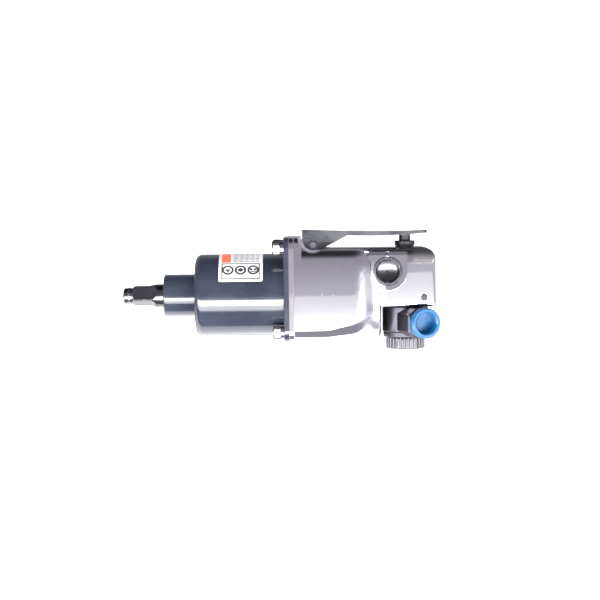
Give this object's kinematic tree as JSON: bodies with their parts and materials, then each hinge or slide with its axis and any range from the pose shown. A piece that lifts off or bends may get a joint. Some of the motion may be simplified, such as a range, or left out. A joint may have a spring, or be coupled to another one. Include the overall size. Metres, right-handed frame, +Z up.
{
  "type": "air impact wrench",
  "caption": "Straight lever-throttle air impact wrench with a square drive, stepped hammer case, polished motor housing, push-through reverse valve and swivel inlet.",
  "frame": {"origin": "centre of the square drive's front face, on the drive axis", "axes": "+X along the drive axis to the rear of the tool, +Z up to the lever, -Y the side the inlet port faces"},
  "size_m": [0.1874, 0.0591, 0.0716],
  "materials": {
    "dark_steel": "polished, dark",
    "spring_steel": "plain",
    "bearing_steel": "ground",
    "hardened_steel": "ground and oiled",
    "bronze": "machined",
    "black_enamel": "gloss",
    "label_film": "printed film",
    "zinc_steel": "bright zinc",
    "gasket_fibre": "pressed fibre",
    "polished_aluminium": "polished casting",
    "end_plate_iron": "machined",
    "blade_composite": "laminated resin",
    "lever_steel": "satin dark grey",
    "knob_steel": "bright, turned",
    "valve_brass": "machined",
    "seal_rubber": "smooth",
    "inlet_black": "black oxide",
    "cap_blue": "soft moulded plastic",
    "screen_steel": "woven",
    "felt": "felt"
  },
  "bodies": {
    "housing": {"anvil_bushing": "bronze", "case_gasket": "gasket_fibre", "case_screws": "zinc_steel", "cylinder": "end_plate_iron", "cylinder_dowel": "hardened_steel", "data_plate": "label_film", "detent_plug": "zinc_steel", "exhaust_grille": "zinc_steel", "flat_washers": "zinc_steel", "front_bearing_outer_race": "bearing_steel", "front_end_plate": "end_plate_iron", "grille_screws": "zinc_steel", "hammer_case": "black_enamel", "inlet_spindle": "valve_brass", "lever_pin": "spring_steel", "lever_pin_clips": "dark_steel", "lock_washers": "spring_steel", "motor_housing": "polished_aluminium", "muffler_felt": "felt", "plunger_guide": "knob_steel", "plunger_o_ring": "seal_rubber", "rear_bearing_outer_race": "bearing_steel", "rear_end_plate": "end_plate_iron", "reverse_bushing_far": "knob_steel", "reverse_bushing_near": "knob_steel", "reverse_detent_ball": "bearing_steel", "reverse_detent_spring": "spring_steel", "spindle_o_ring": "seal_rubber", "spindle_pin": "dark_steel", "swivel_o_rings": "seal_rubber", "swivel_washer": "inlet_black", "throttle_spring": "spring_steel"},
    "lever": {"throttle_lever": "lever_steel"},
    "plunger": {"throttle_plunger": "knob_steel", "throttle_valve": "valve_brass"},
    "reverse_valve": {"reverse_spool": "hardened_steel", "reverse_button_near": "lever_steel", "reverse_button_far": "lever_steel"},
    "regulator": {"regulator_valve": "valve_brass", "regulator_knob": "knob_steel", "knob_circlip": "spring_steel"},
    "swivel": {"swivel_body": "inlet_black", "inlet_screen": "screen_steel"},
    "cap": {"dust_cap": "cap_blue"},
    "rotor_set": {"rotor": "hardened_steel", "rotor_blades": "blade_composite", "hammer_cage": "hardened_steel", "hammer_pins": "hardened_steel", "front_bearing_inner_race": "bearing_steel", "rear_bearing_inner_race": "bearing_steel"},
    "front_hammer_body": {"front_hammer": "hardened_steel"},
    "rear_hammer_body": {"rear_hammer": "hardened_steel"},
    "anvil_set": {"anvil": "dark_steel", "socket_retaining_ring": "spring_steel", "socket_ring_o_ring": "seal_rubber"},
    "front_ball_set": {"front_bearing_balls": "bearing_steel"},
    "rear_ball_set": {"rear_bearing_balls": "bearing_steel"}
  },
  "joints": [
    {"name": "lever_pivot", "type": "hinge", "parent": "housing", "child": "lever", "pos_m": [0.1137, 0, 0.0292], "axis": [0, 1, 0], "range_deg": [0, 3.2], "stiffness_Nm_per_rad": 6, "springref_deg": -4.58},
    {"name": "plunger_slide", "type": "slide", "parent": "housing", "child": "plunger", "axis": [0, 0, -1], "range_m": [0, 0.0032], "deforming": ["throttle_spring"]},
    {"name": "reverse_slide", "type": "slide", "parent": "housing", "child": "reverse_valve", "axis": [0, -1, 0], "range_m": [0, 0.006]},
    {"name": "regulator_turn", "type": "hinge", "parent": "housing", "child": "regulator", "pos_m": [0.1686, 0, 0], "axis": [0, 0, 1], "range_deg": [0, 180]},
    {"name": "inlet_swivel", "type": "hinge", "parent": "housing", "child": "swivel", "pos_m": [0.1686, 0, 0], "axis": [0, 0, 1], "range_deg": [-28, 160]},
    {"name": "dust_cap_pull", "type": "slide", "parent": "swivel", "child": "cap", "axis": [0.342, -0.9397, 0], "range_m": [0, 0.04]},
    {"name": "rotor_spin", "type": "hinge", "parent": "housing", "child": "rotor_set", "pos_m": [0.1173, 0, 0], "axis": [1, 0, 0], "continuous": true},
    {"name": "front_hammer_pivot", "type": "hinge", "parent": "rotor_set", "child": "front_hammer_body", "pos_m": [0.0603, 0, 0.0143], "axis": [1, 0, 0], "range_deg": [-5, 5]},
    {"name": "rear_hammer_pivot", "type": "hinge", "parent": "rotor_set", "child": "rear_hammer_body", "pos_m": [0.0713, 0, -0.0143], "axis": [1, 0, 0], "range_deg": [-5, 5]},
    {"name": "anvil_spin", "type": "hinge", "parent": "housing", "child": "anvil_set", "pos_m": [0.035, 0, 0], "axis": [1, 0, 0], "continuous": true},
    {"name": "front_ball_spin", "type": "hinge", "parent": "housing", "child": "front_ball_set", "pos_m": [0.0974, 0, 0], "axis": [1, 0, 0], "continuous": true},
    {"name": "rear_ball_spin", "type": "hinge", "parent": "housing", "child": "rear_ball_set", "pos_m": [0.13655, 0, 0], "axis": [1, 0, 0], "continuous": true}
  ],
  "couplings": [
    {"joint": "plunger_slide", "follows": "lever_pivot", "m_per_rad": 0.0552},
    {"joint": "front_ball_spin", "follows": "rotor_spin", "ratio": 0.4139},
    {"joint": "rear_ball_spin", "follows": "rotor_spin", "ratio": 0.364}
  ]
}
